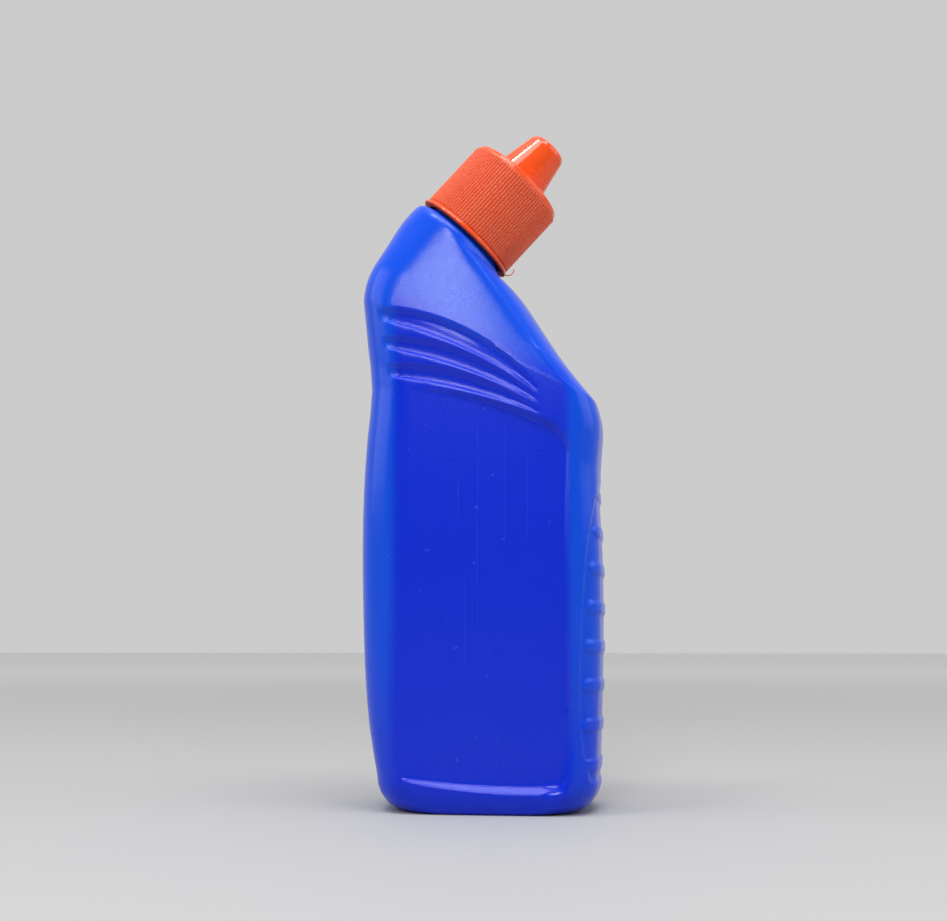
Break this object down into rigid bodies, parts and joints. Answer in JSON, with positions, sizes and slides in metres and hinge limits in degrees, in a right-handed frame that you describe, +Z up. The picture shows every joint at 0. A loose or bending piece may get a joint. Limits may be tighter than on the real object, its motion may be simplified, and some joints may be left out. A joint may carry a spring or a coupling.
{
  "type": "toilet cleaner bottle",
  "caption": "Empty squeeze bottle with a leaning neck, fluted shoulder, flat label panel and ribbed grip, a pressed-in pouring nozzle and a ribbed screw cap with a spout cover.",
  "frame": {"origin": "on the standing plane, under the middle of the bottle's box", "axes": "+Z up from the base, +X the way the neck leans, -Y out of the front label panel"},
  "size_m": [0.0849, 0.0488, 0.2393],
  "materials": {
    "bottle_hdpe": "blue blow-moulded polyethylene with a satin sheen",
    "plug_ldpe": "natural white moulded polyethylene",
    "cap_pp": "orange-red moulded polypropylene, glossy on the spout cover"
  },
  "bodies": {
    "bottle": {"bottle": "bottle_hdpe", "nozzle_plug": "plug_ldpe"},
    "cap": {"screw_cap": "cap_pp"}
  },
  "joints": [
    {"name": "cap_lift", "type": "slide", "parent": "bottle", "child": "cap", "axis": [0.682, 0, 0.7314], "range_m": [0, 0.05]}
  ]
}
